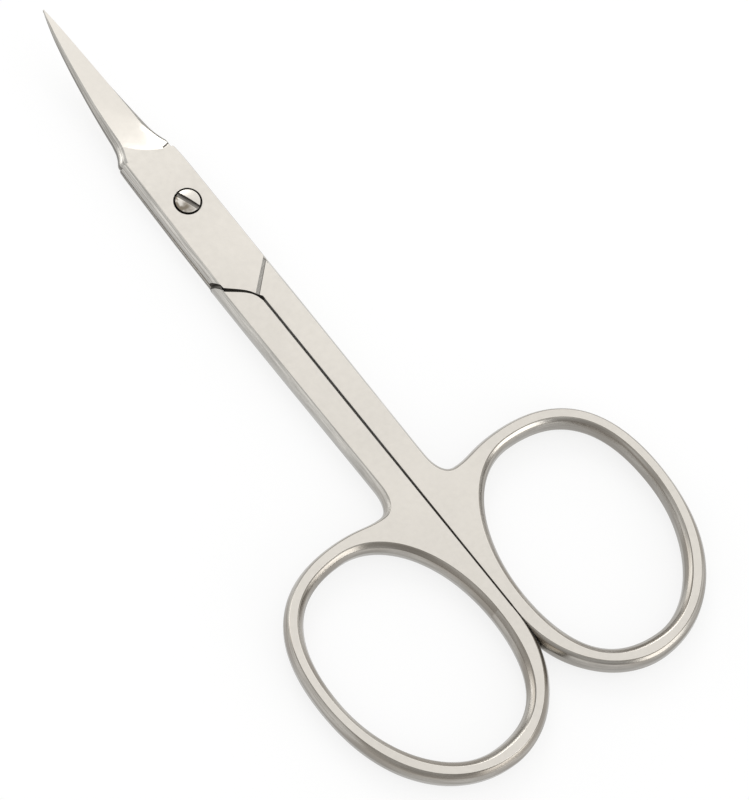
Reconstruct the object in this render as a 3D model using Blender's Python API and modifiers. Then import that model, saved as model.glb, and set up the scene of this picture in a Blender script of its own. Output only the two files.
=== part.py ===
"""Manicure scissors: two crossed halves, each forged in one piece, turning on a slotted screw.

Metres, +Z up. The origin is on the screw's axis, level with the faces the scissors lie on.
+Y points to the blade tips and +X to the right ring, seen from above. The scissors are closed.
Both halves are the same forging turned over, except that both blades bend upwards.
"""
import math

import bmesh
import bpy
import numpy as np
from mathutils import Matrix, Vector

MM = 0.001

# Stock and fits
THICKNESS = 2.9 * MM            # shank and ring, between the two ground faces
PARTING_X = -0.3 * MM           # the shanks part this far to the left of the screw's axis
PARTING_GAP = 0.3 * MM          # between the closed shanks
LAP_GAP = 0.1 * MM              # between the two lapped plates
SHOULDER_GAP = 0.33 * MM        # between a plate's end and the other half's shoulder
SCREW_GAP = 0.05 * MM           # round the screw's shank, and under its head
SIDE_BULGE = 0.5 * MM           # the polished sides swell this far past the ground faces
OPENING_BULGE = 0.8 * MM        # and the sides of the finger opening this far
CUT_MARGIN = 3.0 * MM           # how far a cutter runs past what it cuts

# Lapped plate and shank, widths and places from the parting line and the screw
PLATE_HALF_WIDTH = 2.56 * MM    # on the side of the blade's back, left on the front half
PLATE_EDGE_WIDTH = 2.78 * MM    # on the side of the cutting edge
PLATE_END_HALF_WIDTH = 2.3 * MM
PLATE_END_EDGE_WIDTH = 2.6 * MM
PLATE_END_OUTER_Y = 7.1 * MM    # on the side of the blade's back
PLATE_END_INNER_Y = 5.9 * MM    # on the side of the cutting edge
PLATE_CORNER = 0.7 * MM
SHANK_HALF_WIDTH = 2.68 * MM
SHOULDER_Y = -12.0 * MM         # where the two shoulder lines meet
SHOULDER_ANGLE = math.radians(42.6)
SHOULDER_CORNER = 1.2 * MM      # rounding of a plate's outer lower corner
FACE_MILL_DEPTH = 0.12 * MM     # a plate's outer face lies this far below the shank's
FACE_MILL_RAMP = 0.33 * MM      # width of the slope between them

# Finger ring: the edge of its ground face, inside and outside
RING_OPENING_WIDTH = 19.2 * MM
RING_OPENING_LENGTH = 25.6 * MM
RING_TOP_Y = -38.56 * MM        # top of the opening
RING_WALL = 1.13 * MM           # flat between the parting face and the opening
RING_TOP_BAND = 0.87 * MM       # flat band above, beside and below the opening
RING_SIDE_BAND = 0.67 * MM
RING_FOOT_BAND = 0.77 * MM
CROTCH_LENGTH = 3.1 * MM        # sweep from the shank's side into the notch above the ring
CROTCH_WIDTH = 1.9 * MM
CROTCH_SAG = 0.62 * MM          # the notch's lowest point below the top of the ring
# Where the opening's outermost points lie, as shares of its width or length, and how far
# the outline stays along the tangent there
RING_TANGENT_PLACE_SHARES = {"wall": 0.541, "top": 0.489, "side": 0.447, "foot": 0.469}
RING_OUTSIDE_PLACE_SHARES = {"wall": 0.56, "foot": 0.429}
OPENING_PULL_SHARES = {"wall": (0.299, 0.273), "top": (0.282, 0.383),
                       "side": (0.254, 0.314), "foot": (0.282, 0.342)}
RING_PULL_SHARES = {"wall": 0.312, "top": (0.15, 0.39), "side": (0.30, 0.318), "foot": (0.374, 0.225)}

# Blade
BLADE_HEEL_Y = 5.5 * MM
BLADE_ROOT = 1.5 * MM           # length let into the plate
BLADE_TIP_Y = 24.5 * MM
BLADE_HALF_WIDTH = 2.5 * MM
BLADE_TIP_HALF_WIDTH = 0.07 * MM
BLADE_TAPER_POWER = 0.74
EDGE_HOLLOW_SHARE = 0.31        # the cutting edge is drawn in by this part of the width at the heel
NECK_FLARE = 0.39 * MM          # widening of the back into the plate, from NECK_TOP_Y down
NECK_TOP_Y = 9.45 * MM
HEEL_FLARE = 1.0 * MM           # widening below the cutting edge, from HEEL_TOP_Y down
HEEL_TOP_Y = 9.5 * MM
BEND_START_Y = 6.5 * MM         # the blades bend upwards from here
BEND_RADIUS = 42.0 * MM
BACK_THICKNESS = 0.65 * MM      # at the blade's back, over the tip's thickness
BACK_FLARE = 0.75 * MM          # the back slopes outwards this far below the outer face
EDGE_THICKNESS = 0.22 * MM      # beside the cutting edge
EDGE_LAND = 0.08 * MM           # height of the cutting edge's own face
EDGE_BEVEL = 0.3 * MM
TIP_THICKNESS = 0.2 * MM
HEEL_RISE = 1.4 * MM            # extra thickness of the back at the heel, ground away over
HEEL_LENGTH = 6.0 * MM          # this length
FACE_RELIEF = 0.02 * MM         # the blade's inner face starts this far off the lap
HOLLOW = 0.1 * MM               # hollow grinding of the inner face
HOLLOW_START_SHARES = (0.04, 0.155)    # where the hollow begins along the blade
CENTRE_FADE_SHARES = (0.04, 0.24)      # where the blade's middle moves over to the screw's line
HEEL_EDGE_SHARE = 0.74                 # the edge side's part of the heel's extra thickness

# Screw
SCREW_HEAD_RADIUS = 1.31 * MM
SCREW_HEAD_GAP = 0.13 * MM
SCREW_SHANK_RADIUS = 0.9 * MM
SEAT_DEPTH = 0.7 * MM           # of the round recess, below the plate's outer face
HEAD_RIM_DROP = 0.1 * MM        # the head's rim below the plate's outer face
HEAD_DOME = 0.12 * MM
HEAD_EDGE = 0.08 * MM
SLOT_WIDTH = 0.37 * MM
SLOT_DEPTH = 0.32 * MM
SLOT_ANGLE = math.radians(-69.0)

# Fineness
OUTLINE_STEPS = 16
SIDE_STRIPS = 6
ROUND_STEPS = 48
BLADE_SECTIONS = 28

MID_Z = THICKNESS / 2
PLATE_FACE = MID_Z - FACE_MILL_DEPTH          # plate's outer face above the mid-plane
LAP_FACE = LAP_GAP / 2                        # plate's inner face above the mid-plane
SEAT_RADIUS = SCREW_HEAD_RADIUS + SCREW_HEAD_GAP
BORE_RADIUS = SCREW_SHANK_RADIUS + SCREW_GAP
SEAT_Z = MID_Z + PLATE_FACE - SEAT_DEPTH
SHOULDER_ALONG = Vector((math.cos(SHOULDER_ANGLE), math.sin(SHOULDER_ANGLE)))
FRAMES = {
    "front": Matrix.Translation((PARTING_X, 0, MID_Z)),
    "back": Matrix.Translation((PARTING_X, 0, MID_Z)) @ Matrix.Rotation(math.pi, 4, "Y"),
}


def clear_scene():
    for old in list(bpy.data.objects):
        bpy.data.objects.remove(old, do_unlink=True)


def new_collection(name):
    group = bpy.data.collections.new(name)
    bpy.context.scene.collection.children.link(group)
    return group


def steel(name, colour, roughness):
    material = bpy.data.materials.new(name)
    material.use_nodes = True
    shader = material.node_tree.nodes["Principled BSDF"]
    shader.inputs["Base Color"].default_value = (*colour, 1)
    shader.inputs["Metallic"].default_value = 1
    shader.inputs["Roughness"].default_value = roughness
    return material


def outline_mesh(name, loops, half_height):
    """A flat outline as a filled 2D curve, made a closed mesh.

    A knot is (x, y) for a corner, or (x, y, pull before, pull after) for a smooth point,
    where each pull is the (x, y) offset of its handle.
    """
    curve = bpy.data.curves.new(name, "CURVE")
    curve.dimensions = "2D"
    curve.fill_mode = "BOTH"
    curve.extrude = half_height
    curve.resolution_u = OUTLINE_STEPS
    for loop in loops:
        spline = curve.splines.new("BEZIER")
        spline.use_cyclic_u = True
        spline.bezier_points.add(len(loop) - 1)
        for knot, point in zip(loop, spline.bezier_points):
            place = Vector((knot[0], knot[1], 0))
            kind = "VECTOR" if len(knot) == 2 else "FREE"
            point.co = place
            point.handle_left_type = point.handle_right_type = kind
            if kind == "FREE":
                point.handle_left = place + Vector((*knot[2], 0))
                point.handle_right = place + Vector((*knot[3], 0))
    guide = bpy.data.objects.new(name + "_outline", curve)
    bpy.context.scene.collection.objects.link(guide)
    evaluated = guide.evaluated_get(bpy.context.evaluated_depsgraph_get())
    mesh = bpy.data.meshes.new_from_object(evaluated)
    mesh.name = name
    bpy.data.objects.remove(guide, do_unlink=True)
    body = bmesh.new()
    body.from_mesh(mesh)
    bmesh.ops.remove_doubles(body, verts=body.verts, dist=0.001 * MM)
    bmesh.ops.recalc_face_normals(body, faces=body.faces)
    body.to_mesh(mesh)
    body.free()
    return mesh


def swell_sides(mesh, half_height):
    """Rounds the straight sides outwards: level cos(t) ** 1.5 at height sin(t), crisp at the faces."""
    body = bmesh.new()
    body.from_mesh(mesh)
    upright = [e for e in body.edges if abs(e.verts[0].co.z - e.verts[1].co.z) > half_height]
    bmesh.ops.subdivide_edges(body, edges=upright, cuts=SIDE_STRIPS - 1, use_grid_fill=True)
    body.normal_update()
    middle = Vector((PARTING_GAP / 2 + RING_WALL + RING_OPENING_WIDTH / 2, RING_TOP_Y - RING_OPENING_LENGTH / 2, 0))
    for vert in body.verts:
        share = vert.co.z / half_height
        if abs(share) < 0.999:
            turn = share * math.pi / 2
            outwards = Vector((vert.normal.x, vert.normal.y, 0)).normalized()
            in_opening = vert.co.y < RING_TOP_Y + RING_TOP_BAND / 2 and outwards.dot(vert.co - middle) < 0
            vert.co += outwards * (OPENING_BULGE if in_opening else SIDE_BULGE) * math.cos(turn) ** 1.5
            vert.co.z = half_height * math.sin(turn)
    body.to_mesh(mesh)
    body.free()


def opening_loop():
    """The finger ring's opening: four tangent points joined by smooth arcs."""
    near = PARTING_GAP / 2 + RING_WALL
    far = near + RING_OPENING_WIDTH
    foot = RING_TOP_Y - RING_OPENING_LENGTH
    place, pull = RING_TANGENT_PLACE_SHARES, OPENING_PULL_SHARES
    width, length = RING_OPENING_WIDTH, RING_OPENING_LENGTH
    wall_y = RING_TOP_Y - place["wall"] * length
    side_y = RING_TOP_Y - place["side"] * length
    top_x = near + place["top"] * width
    foot_x = near + place["foot"] * width
    return [
        (near, wall_y, (0, -pull["wall"][1] * length), (0, pull["wall"][0] * length)),
        (top_x, RING_TOP_Y, (-pull["top"][0] * width, 0), (pull["top"][1] * width, 0)),
        (far, side_y, (0, pull["side"][0] * length), (0, -pull["side"][1] * length)),
        (foot_x, foot, (pull["foot"][0] * width, 0), (-pull["foot"][1] * width, 0)),
    ]


def forging_loop():
    """One half's ground face from the plate's end to the ring's foot, before the parting is cut."""
    near = PARTING_GAP / 2
    over = near - 2 * SIDE_BULGE
    far = near + RING_WALL + RING_OPENING_WIDTH + RING_SIDE_BAND
    top = RING_TOP_Y + RING_TOP_BAND
    foot = RING_TOP_Y - RING_OPENING_LENGTH - RING_FOOT_BAND
    place, pull = {**RING_TANGENT_PLACE_SHARES, **RING_OUTSIDE_PLACE_SHARES}, RING_PULL_SHARES
    width, length = RING_OPENING_WIDTH, RING_OPENING_LENGTH
    wall_y = RING_TOP_Y - place["wall"] * length
    side_y = RING_TOP_Y - place["side"] * length
    top_x = near + RING_WALL + place["top"] * width
    foot_x = near + RING_WALL + place["foot"] * width
    notch = top - CROTCH_SAG
    sweep, rise = 0.65 * CROTCH_WIDTH, 0.65 * CROTCH_LENGTH
    below = SHOULDER_Y - 2 * SHANK_HALF_WIDTH
    back, edge, corner = PLATE_END_HALF_WIDTH, PLATE_END_EDGE_WIDTH, PLATE_CORNER
    return [
        (near, wall_y, (0, -pull["wall"] * length), (0, pull["wall"] * length)),
        (over, RING_TOP_Y),
        (over, below),
        (-PLATE_HALF_WIDTH, SHOULDER_Y),
        (-PLATE_HALF_WIDTH, 0),
        (-back, PLATE_END_OUTER_Y - corner, (0, -corner), (0, corner / 2)),
        (-back + corner, PLATE_END_OUTER_Y, (-corner / 2, 0), (corner, -corner / 2)),
        (edge - corner, PLATE_END_INNER_Y, (-corner, corner / 2), (corner / 2, 0)),
        (edge, PLATE_END_INNER_Y - corner, (0, corner / 2), (0, -corner)),
        (PLATE_EDGE_WIDTH, 0),
        (SHANK_HALF_WIDTH, SHOULDER_Y),
        (SHANK_HALF_WIDTH, notch + CROTCH_LENGTH, (0, CROTCH_LENGTH / 2), (0, -rise)),
        (SHANK_HALF_WIDTH + CROTCH_WIDTH, notch, (-sweep, 0), (sweep, 0)),
        (top_x, top, (-pull["top"][0] * width, 0), (pull["top"][1] * width, 0)),
        (far, side_y, (0, pull["side"][0] * length), (0, -pull["side"][1] * length)),
        (foot_x, foot, (pull["foot"][0] * width, 0), (-pull["foot"][1] * width, 0)),
    ]


def shoulder_line(side, setback):
    """Shoulder from the parting line out past the side, as knots: straight, then turned up at its end.

    side is -1 for the plate's lower edge on the left and 1 for the shank's shoulder on the right;
    setback moves the line down, away from the screw.
    """
    along = Vector((side * SHOULDER_ALONG.x, SHOULDER_ALONG.y))
    down = Vector((side * SHOULDER_ALONG.y, -SHOULDER_ALONG.x)) * setback
    start = Vector((0, SHOULDER_Y)) + down
    reach = (PLATE_HALF_WIDTH - SHOULDER_CORNER / 4) / SHOULDER_ALONG.x
    turn = start + along * reach
    end = turn + Vector((side * SHOULDER_CORNER * 0.75, SHOULDER_CORNER * 1.3))
    pull = along * SHOULDER_CORNER / 2
    return [
        (start.x, start.y),
        (turn.x, turn.y, tuple(-pull), tuple(pull)),
        (end.x, end.y, (0, -SHOULDER_CORNER / 2), (0, SHOULDER_CORNER / 4)),
    ]


def rings_clearance_loop():
    """Everything left of the parting face and below the plate: the other half's shank and ring."""
    edge = shoulder_line(-1, -SHOULDER_GAP / 2)
    away = -RING_OPENING_WIDTH - CUT_MARGIN
    low = RING_TOP_Y - RING_OPENING_LENGTH - CUT_MARGIN
    seam = PARTING_GAP / 2
    start_y = edge[0][1] - seam * math.tan(SHOULDER_ANGLE)
    return [(seam, low), (seam, start_y)] + edge[1:] + [(away, edge[-1][1]), (away, low)]


def lap_loop():
    """The other half's plate: everything above the shank's shoulder."""
    edge = shoulder_line(1, SHOULDER_GAP / 2)
    wide = PLATE_EDGE_WIDTH + CUT_MARGIN
    high = PLATE_END_OUTER_Y + CUT_MARGIN
    low = SHOULDER_Y - SHOULDER_CORNER - CUT_MARGIN
    return [(-wide, low), (0, low)] + edge + [(wide, edge[-1][1]), (wide, high), (-wide, high)]


def face_mill_mesh(name):
    """Prism along the right shoulder line, whose lower corner is the slope down to the plate's face."""
    slope = FACE_MILL_DEPTH / FACE_MILL_RAMP
    rise = CUT_MARGIN
    far = (BLADE_HEEL_Y - SHOULDER_Y + 2 * PLATE_EDGE_WIDTH) * SHOULDER_ALONG.x + FACE_MILL_RAMP
    profile = [(-rise / slope, MID_Z + rise), (FACE_MILL_RAMP, PLATE_FACE),
               (far, PLATE_FACE), (far, MID_Z + rise)]
    mesh = outline_mesh(name, [profile], -SHOULDER_Y + CUT_MARGIN)
    across = Vector((-SHOULDER_ALONG.y, SHOULDER_ALONG.x, 0))
    up = Vector((0, 0, 1))
    stand = Matrix((across, up, across.cross(up))).transposed().to_4x4()
    half_ramp = -across * FACE_MILL_RAMP / 2
    mesh.transform(Matrix.Translation(Vector((0, SHOULDER_Y, 0)) + half_ramp) @ stand)
    return mesh


def fade(share, ends):
    """1 before the first of the two ends, 0 after the second, smooth between."""
    t = min(max((share - ends[0]) / (ends[1] - ends[0]), 0), 1)
    return 1 - t * t * (3 - 2 * t)


def flare(y, amount, top, bottom):
    """Widening that grows as a parabola from nothing at the top to the amount at the bottom."""
    return amount * (max(top - y, 0) / (top - bottom)) ** 2


def blade_section(y):
    """One section across a blade: (x, height over the bent mid-surface) points, back first."""
    share = min(max((y - BLADE_HEEL_Y) / (BLADE_TIP_Y - BLADE_HEEL_Y), 0), 1)
    left = 1 - share
    taper = max(BLADE_HALF_WIDTH * left ** BLADE_TAPER_POWER, BLADE_TIP_HALF_WIDTH)
    back_x = taper + flare(y, NECK_FLARE, NECK_TOP_Y, PLATE_END_OUTER_Y)
    back_x = min(back_x, PLATE_END_HALF_WIDTH + SIDE_BULGE / 2)
    edge_x = taper * (1 - EDGE_HOLLOW_SHARE * left ** 2.6)
    edge_x = min(edge_x + flare(y, HEEL_FLARE, HEEL_TOP_Y, PLATE_END_INNER_Y), PLATE_END_EDGE_WIDTH)
    narrow = taper / BLADE_HALF_WIDTH
    face_x = back_x - BACK_FLARE * narrow
    bevel = EDGE_BEVEL * narrow
    heel = max(1 - (y - BLADE_HEEL_Y) / HEEL_LENGTH, 0) ** 1.6 * HEEL_RISE
    inner = LAP_FACE + FACE_RELIEF
    back = inner + TIP_THICKNESS + BACK_THICKNESS * left ** 0.6 + heel
    edge = inner + EDGE_THICKNESS * (1 - share / 2) + HEEL_EDGE_SHARE * heel
    slope = (edge - back) / (face_x + edge_x)
    hollow = HOLLOW * narrow * (1 - fade(share, HOLLOW_START_SHARES))
    outer = [(-back_x, inner + (back - inner) / 4), (-back_x + BACK_FLARE * narrow / 3, (inner + 2 * back) / 3),
             (-face_x, back), (0, back + slope * face_x), (edge_x - bevel, edge - slope * bevel),
             (edge_x, inner + EDGE_LAND + HEEL_EDGE_SHARE * heel)]
    lower = [(edge_x, inner), (edge_x / 2, inner + 0.75 * hollow), (0, inner + hollow),
             (-back_x / 2, inner + 0.75 * hollow), (-back_x, inner)]
    return outer + lower


def bend(x, y):
    """Height of the blades' mid-surface over the plates'; it is a surface turned about the screw's axis."""
    return max(math.hypot(x, y) - BEND_START_Y, 0) ** 2 / (2 * BEND_RADIUS)


def blade_mesh(name, side):
    """Loft through the blade's sections; side is 1 for the front blade and -1 for the back one."""
    start = BLADE_HEEL_Y - BLADE_ROOT
    stations = start + (BLADE_TIP_Y - start) * np.linspace(0, 1, BLADE_SECTIONS) ** 1.3
    length = BLADE_TIP_Y - BLADE_HEEL_Y
    body = bmesh.new()
    rows = []
    for y in stations:
        centre = PARTING_X * fade((y - BLADE_HEEL_Y) / length, CENTRE_FADE_SHARES)
        section = [(centre + side * x, side * z) for x, z in blade_section(y)]
        rows.append([body.verts.new((x, y, MID_Z + bend(x, y) + z)) for x, z in section])
    for row, following in zip(rows, rows[1:]):
        for i in range(len(row)):
            j = (i + 1) % len(row)
            body.faces.new((row[i], row[j], following[j], following[i]))
    body.faces.new(rows[0])
    body.faces.new(rows[-1])
    bmesh.ops.recalc_face_normals(body, faces=body.faces)
    mesh = bpy.data.meshes.new(name)
    body.to_mesh(mesh)
    body.free()
    return mesh


def tool(name, mesh, group):
    """A hidden body that cuts or joins another."""
    piece = bpy.data.objects.new(name, mesh)
    piece.hide_render = True
    piece.display_type = "WIRE"
    group.objects.link(piece)
    return piece


def cylinder(name, radius, low, high, group):
    body = bmesh.new()
    bmesh.ops.create_cone(body, cap_ends=True, segments=ROUND_STEPS, radius1=radius, radius2=radius,
                          depth=high - low, matrix=Matrix.Translation((0, 0, (low + high) / 2)))
    mesh = bpy.data.meshes.new(name)
    body.to_mesh(mesh)
    body.free()
    return tool(name, mesh, group)


def boolean(piece, operation, operand):
    step = piece.modifiers.new(operand.name, "BOOLEAN")
    step.operation = operation
    step.solver = "EXACT"
    step.object = operand


def smooth_shade(piece, angle=math.radians(13)):
    piece.data.shade_smooth()
    piece.data.set_sharp_from_angle(angle=angle)


def scissor_half(which, parts, tools, material):
    """One half: forged outline, parted and lapped, with its blade, its milled plate and its bore."""
    frame = FRAMES[which]
    mesh = outline_mesh(which + "_half", [forging_loop(), opening_loop()], MID_Z)
    swell_sides(mesh, MID_Z)
    mesh.transform(frame)
    half = bpy.data.objects.new(which + "_half", mesh)
    parts.objects.link(half)
    half.data.materials.clear()
    half.data.materials.append(material)

    parting = outline_mesh(which + "_parting_cut", [rings_clearance_loop()], THICKNESS)
    parting.transform(frame)
    boolean(half, "DIFFERENCE", tool(which + "_parting_cut", parting, tools))

    lap = outline_mesh(which + "_lap_cut", [lap_loop()], THICKNESS / 2)
    lap.transform(frame @ Matrix.Translation((0, 0, LAP_FACE - THICKNESS / 2)))
    boolean(half, "DIFFERENCE", tool(which + "_lap_cut", lap, tools))

    blade = tool(which + "_blade", blade_mesh(which + "_blade", 1 if which == "front" else -1), tools)
    boolean(half, "UNION", blade)

    mill = face_mill_mesh(which + "_face_mill")
    mill.transform(frame)
    boolean(half, "DIFFERENCE", tool(which + "_face_mill", mill, tools))

    through = cylinder(which + "_bore", BORE_RADIUS, -CUT_MARGIN, THICKNESS + CUT_MARGIN, tools)
    boolean(half, "DIFFERENCE", through)
    if which == "front":
        seat = cylinder("front_screw_seat", SEAT_RADIUS, SEAT_Z, THICKNESS + CUT_MARGIN, tools)
        boolean(half, "DIFFERENCE", seat)
    smooth_shade(half)
    return half


def pivot_screw(parts, tools, material):
    """Slotted screw, turned from its profile: low domed head in the recess, end level with the rest face."""
    rim = SEAT_Z + SEAT_DEPTH - HEAD_RIM_DROP
    under = SEAT_Z + SCREW_GAP
    radius = SCREW_HEAD_RADIUS
    profile = [(0, rim + HEAD_DOME), (radius / 3, rim + 8 / 9 * HEAD_DOME),
               (radius * 2 / 3, rim + 5 / 9 * HEAD_DOME), (radius - HEAD_EDGE, rim),
               (radius, rim - HEAD_EDGE), (radius, under), (SCREW_SHANK_RADIUS, under),
               (SCREW_SHANK_RADIUS, 0), (0, 0)]
    mesh = bpy.data.meshes.new("pivot_screw")
    mesh.from_pydata([(x, 0, z) for x, z in profile], [(i, i + 1) for i in range(len(profile) - 1)], [])
    screw = bpy.data.objects.new("pivot_screw", mesh)
    parts.objects.link(screw)
    screw.data.materials.append(material)
    turn = screw.modifiers.new("turning", "SCREW")
    turn.angle = 2 * math.pi
    turn.steps = turn.render_steps = ROUND_STEPS
    turn.use_merge_vertices = True
    turn.merge_threshold = 0.001 * MM
    turn.use_smooth_shade = False

    top = rim + HEAD_DOME
    body = bmesh.new()
    size = Vector((2 * radius + CUT_MARGIN, SLOT_WIDTH, 2 * SLOT_DEPTH))
    place = Matrix.Translation((0, 0, top)) @ Matrix.Rotation(SLOT_ANGLE, 4, "Z") @ Matrix.Diagonal((*size, 1))
    bmesh.ops.create_cube(body, size=1, matrix=place)
    slot = bpy.data.meshes.new("screw_slot")
    body.to_mesh(slot)
    body.free()
    boolean(screw, "DIFFERENCE", tool("screw_slot", slot, tools))
    return screw


def build():
    clear_scene()
    parts = new_collection("manicure_scissors")
    tools = new_collection("cutters")
    satin = steel("satin_steel", (0.72, 0.69, 0.65), 0.32)
    bright = steel("bright_steel", (0.70, 0.68, 0.64), 0.22)
    pivot = bpy.data.objects.new("pivot_axis", None)
    pivot.empty_display_size = THICKNESS
    parts.objects.link(pivot)
    scissor_half("back", parts, tools, satin)
    front = scissor_half("front", parts, tools, satin)
    front.parent = pivot
    pivot_screw(parts, tools, bright)


build()
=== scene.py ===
"""Looks of a pair of manicure scissors: two steel halves and the screw they turn on.

Shapes are in millimetres until a mesh is made; materials, lamp and camera are in metres. Each
half is worked out with its plate's outer face upwards, and is then put in its place.
"""

import math

import bmesh
import bpy
import numpy as np
from mathutils import Matrix


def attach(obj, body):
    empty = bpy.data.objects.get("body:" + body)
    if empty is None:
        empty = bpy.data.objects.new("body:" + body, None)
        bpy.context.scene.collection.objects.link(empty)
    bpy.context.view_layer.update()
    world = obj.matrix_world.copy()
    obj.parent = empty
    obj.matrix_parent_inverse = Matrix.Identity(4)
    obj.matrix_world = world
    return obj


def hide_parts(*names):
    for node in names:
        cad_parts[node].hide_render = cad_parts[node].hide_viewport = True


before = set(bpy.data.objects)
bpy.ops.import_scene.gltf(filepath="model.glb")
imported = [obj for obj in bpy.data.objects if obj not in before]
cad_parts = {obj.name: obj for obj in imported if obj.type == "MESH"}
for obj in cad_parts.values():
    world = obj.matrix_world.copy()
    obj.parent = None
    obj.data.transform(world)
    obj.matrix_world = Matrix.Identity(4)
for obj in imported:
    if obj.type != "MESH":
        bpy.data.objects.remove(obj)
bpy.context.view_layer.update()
MM = 0.001


# Steel
# Both halves are stainless steel: the wide faces are ground to a fine satin, the sides and the
# rings' insides are polished, with fine lines along them.
# Painted reflection: the rings' polished sides are painted darker, in random patches, for the
# darker surroundings they reflect.
RING_PAINTED_SHADE = (0.25, 0.22, 0.185, 1)
# Painted shade: a dark line along the rings' sides, close to the edges of their faces.
ARRIS_PAINTED_SHADE = (0.16, 0.14, 0.115, 1)
# Painted shade: four dark lines along each polished side, standing in for the facets' crease lines.
CREASE_PAINTED_SHADE = (0.20, 0.175, 0.15, 1)
SPECK_SHADE = (0.12, 0.1, 0.085, 1)
# Dark brown blotches, laid only on what lies left of the screw's axis.
BLOTCH_COLOUR = (0.20, 0.165, 0.12, 1)
# Painted shade: near black, laid over the closed gaps between the parts, the recesses and other
# dark places.
PAINTED_SHADE_COLOUR = (0.035, 0.03, 0.026, 1)
CREASE_LINES_OFF_MIDDLE, CREASE_LINES_APART = 0.285, 0.072
RING_NORTH_END = (-0.042, -0.030)
BLOTCHES_EAST_END = (-0.0005, 0.0003)


class Value:
    """A number or colour socket in a material; +, -, * and abs add Math nodes."""

    def __init__(self, tree, socket):
        self.tree, self.socket = tree, socket

    def node(self, kind, settings=None, out=0, **inputs):
        """Adds a node with its settings, links or fills its inputs, and gives an output.

        An input goes by Blender's name, with _ for a space, or by i and its number.
        """
        made = self.tree.nodes.new(kind)
        for name, setting in (settings or {}).items():
            setattr(made, name, setting)
        for name, value in inputs.items():
            numbered = name[0] == "i" and name[1:].isdigit()
            key = int(name[1:]) if numbered else name.replace("_", " ")
            if isinstance(value, Value):
                self.tree.links.new(value.socket, made.inputs[key])
            else:
                made.inputs[key].default_value = value
        return Value(self.tree, made.outputs[out])

    def math(self, operation, *values):
        return self.node("ShaderNodeMath", {"operation": operation},
                         **{f"i{i}": v for i, v in enumerate(values)})

    def __add__(self, other):
        return self.math("ADD", self, other)

    def __sub__(self, other):
        return self.math("SUBTRACT", self, other)

    def __rsub__(self, other):
        return self.math("SUBTRACT", other, self)

    def __mul__(self, other):
        return self.math("MULTIPLY", self, other)

    def __abs__(self):
        return self.math("ABSOLUTE", self)

    __radd__ = __add__

    def at_least(self, other):
        return self.math("MAXIMUM", self, other)

    def smooth(self, low, high):
        """0 below low, 1 above high, smooth between."""
        return self.node("ShaderNodeMapRange", {"interpolation_type": "SMOOTHSTEP"},
                         Value=self, From_Min=low, From_Max=high)

    def blend(self, first, second):
        """A colour between two, by this value."""
        return self.node("ShaderNodeMix", {"data_type": "RGBA"}, out=2,
                         i0=self, i6=first, i7=second)

    def noise(self, scale, detail=2.0, roughness=0.5, distortion=0.0):
        """Fractal noise, 0 to 1, of this vector."""
        return self.node("ShaderNodeTexNoise", Vector=self, Scale=scale, Detail=detail,
                         Roughness=roughness, Distortion=distortion)

    def stretched(self, x, y, z):
        return self.node("ShaderNodeMapping", Vector=self, Scale=(x, y, z))


def shaded(colour, factor):
    """An RGB colour made darker or lighter, with its alpha."""
    return (*[min(c * factor, 1) for c in colour], 1)


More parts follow.
